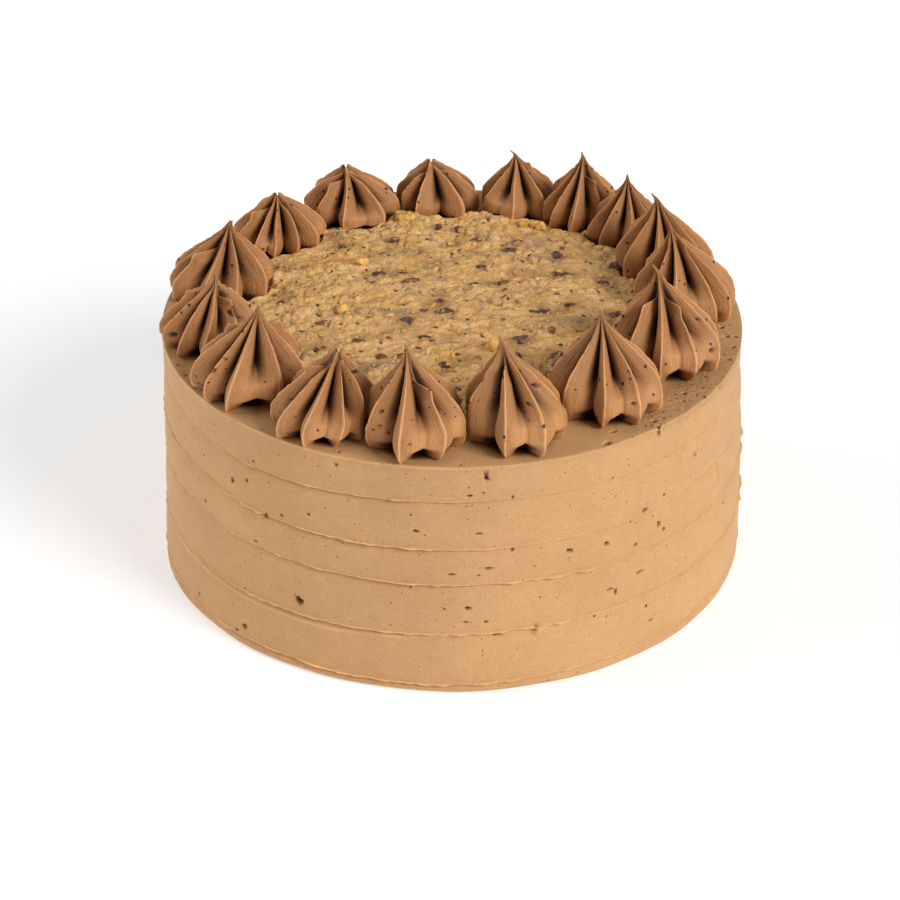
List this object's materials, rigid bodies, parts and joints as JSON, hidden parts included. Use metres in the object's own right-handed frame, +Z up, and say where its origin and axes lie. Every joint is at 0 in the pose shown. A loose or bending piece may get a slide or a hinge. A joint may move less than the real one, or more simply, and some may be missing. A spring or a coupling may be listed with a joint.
{
  "type": "layer cake",
  "caption": "Whole round iced layer cake with scraped sides, a coconut and pecan topping, and a ring of star-piped dollops round the rim.",
  "frame": {"origin": "middle of the cake's flat underside, on the surface it stands on", "axes": "+Z up, -Y towards the front of the cake, +X to the right seen from the front"},
  "size_m": [0.2145, 0.2129, 0.1275],
  "materials": {
    "buttercream_side": "smooth pale chocolate icing, matt with a soft sheen",
    "coconut_pecan": "rough sticky spread of coconut and chopped nuts",
    "buttercream_dollop": "smooth piped chocolate icing, matt with a soft sheen"
  },
  "bodies": {
    "root": {"frosted_body": "buttercream_side", "coconut_pecan_topping": "coconut_pecan", "star_dollop_01": "buttercream_dollop", "star_dollop_02": "buttercream_dollop", "star_dollop_03": "buttercream_dollop", "star_dollop_04": "buttercream_dollop", "star_dollop_05": "buttercream_dollop", "star_dollop_06": "buttercream_dollop", "star_dollop_07": "buttercream_dollop", "star_dollop_08": "buttercream_dollop", "star_dollop_09": "buttercream_dollop", "star_dollop_10": "buttercream_dollop", "star_dollop_11": "buttercream_dollop", "star_dollop_12": "buttercream_dollop", "star_dollop_13": "buttercream_dollop", "star_dollop_14": "buttercream_dollop", "star_dollop_15": "buttercream_dollop", "star_dollop_16": "buttercream_dollop"}
  },
  "joints": []
}
